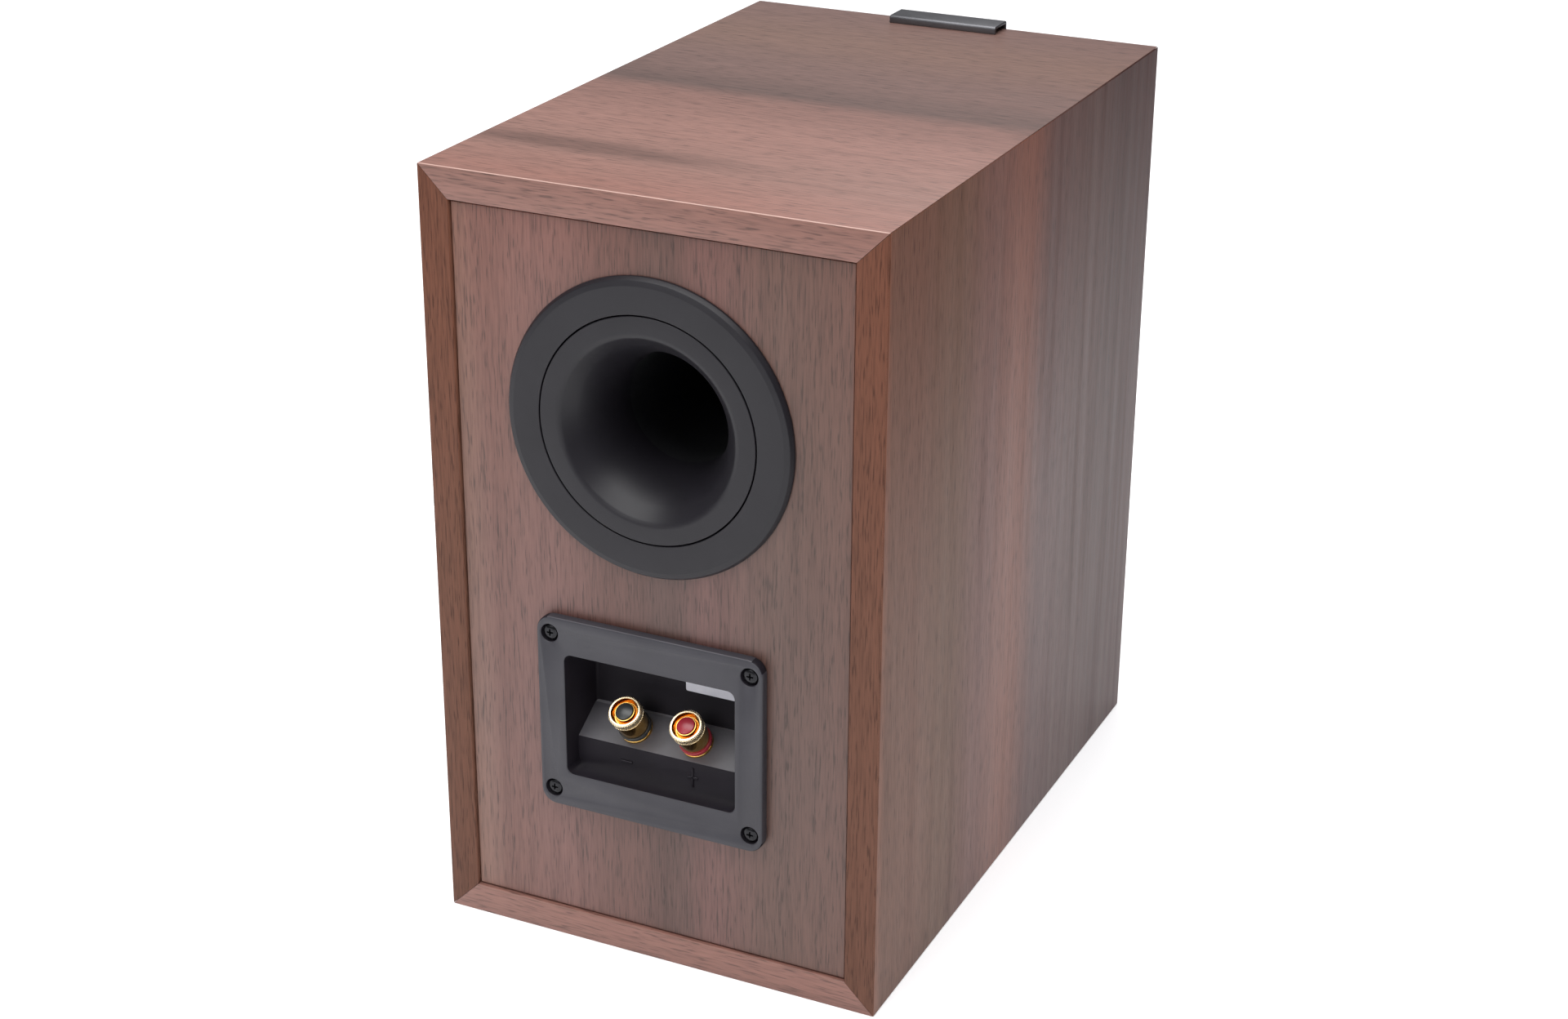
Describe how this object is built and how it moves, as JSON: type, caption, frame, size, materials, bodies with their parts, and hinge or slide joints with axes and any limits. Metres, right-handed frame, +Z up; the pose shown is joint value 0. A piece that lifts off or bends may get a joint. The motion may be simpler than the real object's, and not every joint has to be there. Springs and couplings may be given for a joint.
{
  "type": "bookshelf speaker",
  "caption": "Rear-ported two-way bookshelf speaker with a flared bass port and a recessed cup of gold-plated binding posts.",
  "frame": {"origin": "centre of the cabinet's bottom face, which is the face it rests on", "axes": "+Z up; the front baffle faces -Y and the port and terminals face +Y; +X is the right side as the front is seen"},
  "size_m": [0.18, 0.2805, 0.3042],
  "materials": {
    "walnut_vinyl": "satin walnut-grain vinyl on fibreboard",
    "baffle_paint": "satin black lacquer on fibreboard",
    "bare_mdf": "bare fibreboard",
    "felt": "needled polyester felt",
    "clip_metal": "satin bent sheet",
    "port_plastic": "fine textured moulding",
    "tube_plastic": "dark extruded tube",
    "cup_plastic": "textured grey moulding",
    "gasket_foam": "closed-cell foam",
    "screw_black": "black oxide",
    "label_film": "printed film",
    "gold_plate": "gold-plated brass",
    "red_plastic": "satin red moulding",
    "black_plastic": "satin black moulding",
    "steel": "zinc-plated steel",
    "board": "solder-masked circuit board",
    "nylon": "natural nylon",
    "copper": "enamelled copper winding",
    "film_capacitor": "wrapped film capacitor",
    "ceramic": "cement resistor body",
    "trim_rubber": "matt moulded rubber",
    "basket_aluminium": "die-cast, dark coated",
    "surround_rubber": "butyl rubber",
    "cone_paper": "coated paper",
    "spider_cloth": "resin-treated cloth",
    "ferrite": "sintered ferrite",
    "faceplate_plastic": "fine textured moulding",
    "dome_silk": "coated silk",
    "neodymium": "nickel-plated magnet",
    "wire_pvc": "insulated stranded wire"
  },
  "bodies": {
    "cabinet": {"side_panel_left": "walnut_vinyl", "side_panel_right": "walnut_vinyl", "top_panel": "walnut_vinyl", "bottom_panel": "walnut_vinyl", "front_baffle": "baffle_paint", "rear_panel": "walnut_vinyl", "window_brace": "bare_mdf", "side_linings": "felt", "top_lining": "felt", "trim_clip": "clip_metal", "port_flange": "port_plastic", "port_flare": "port_plastic", "port_tube": "tube_plastic", "port_inner_flare": "port_plastic", "terminal_cup": "cup_plastic", "terminal_gasket": "gasket_foam", "terminal_screws": "screw_black", "rating_label": "label_film", "positive_stud": "gold_plate", "positive_tag": "gold_plate", "positive_washer": "steel", "positive_nut": "gold_plate", "negative_stud": "gold_plate", "negative_tag": "gold_plate", "negative_washer": "steel", "negative_nut": "gold_plate", "crossover_board": "board", "crossover_supports": "nylon", "woofer_inductor": "copper", "tweeter_inductor": "copper", "capacitors": "film_capacitor", "resistors": "ceramic", "woofer_trim_ring": "trim_rubber", "woofer_gasket": "gasket_foam", "woofer_basket": "basket_aluminium", "woofer_screws": "screw_black", "woofer_surround": "surround_rubber", "woofer_spider": "spider_cloth", "woofer_top_plate": "steel", "woofer_magnet": "ferrite", "woofer_yoke": "steel", "tweeter_faceplate": "faceplate_plastic", "tweeter_screws": "screw_black", "tweeter_surround": "dome_silk", "tweeter_pole_tip": "steel", "tweeter_magnet": "neodymium", "tweeter_cup": "steel", "input_wires": "wire_pvc", "woofer_wires": "wire_pvc", "tweeter_wires": "wire_pvc"},
    "woofer_diaphragm": {"woofer_cone": "cone_paper", "woofer_dust_cap": "cone_paper", "woofer_voice_coil": "copper"},
    "tweeter_diaphragm": {"tweeter_dome": "dome_silk"},
    "positive_ring": {"positive_clamp_ring": "red_plastic"},
    "positive_cap": {"positive_knob": "gold_plate"},
    "positive_bung": {"positive_plug": "red_plastic"},
    "negative_ring": {"negative_clamp_ring": "black_plastic"},
    "negative_cap": {"negative_knob": "gold_plate"},
    "negative_bung": {"negative_plug": "black_plastic"}
  },
  "joints": [
    {"name": "woofer_travel", "type": "slide", "parent": "cabinet", "child": "woofer_diaphragm", "axis": [0, -1, 0], "range_m": [-0.004, 0.004], "stiffness_N_per_m": 1250, "deforming": ["woofer_surround", "woofer_spider"]},
    {"name": "tweeter_travel", "type": "slide", "parent": "cabinet", "child": "tweeter_diaphragm", "axis": [0, -1, 0], "range_m": [-0.0003, 0.0003], "stiffness_N_per_m": 900, "deforming": ["tweeter_surround"]},
    {"name": "positive_ring_lift", "type": "slide", "parent": "cabinet", "child": "positive_ring", "axis": [0, 0.6293, 0.7771], "range_m": [0, 0.0048]},
    {"name": "positive_knob_turn", "type": "hinge", "parent": "positive_ring", "child": "positive_cap", "pos_m": [-0.01265, 0.12598, 0.09068], "axis": [0, 0.6293, 0.7771], "range_deg": [0, 2160]},
    {"name": "positive_plug_pull", "type": "slide", "parent": "positive_cap", "child": "positive_bung", "axis": [0, 0.6293, 0.7771], "range_m": [0, 0.012]},
    {"name": "negative_ring_lift", "type": "slide", "parent": "cabinet", "child": "negative_ring", "axis": [0, 0.6293, 0.7771], "range_m": [0, 0.0048]},
    {"name": "negative_knob_turn", "type": "hinge", "parent": "negative_ring", "child": "negative_cap", "pos_m": [0.01265, 0.12598, 0.09068], "axis": [0, 0.6293, 0.7771], "range_deg": [0, 2160]},
    {"name": "negative_plug_pull", "type": "slide", "parent": "negative_cap", "child": "negative_bung", "axis": [0, 0.6293, 0.7771], "range_m": [0, 0.012]}
  ],
  "couplings": [
    {"joint": "positive_knob_turn", "follows": "positive_ring_lift", "rad_per_m": 7854},
    {"joint": "negative_knob_turn", "follows": "negative_ring_lift", "rad_per_m": 7854}
  ]
}
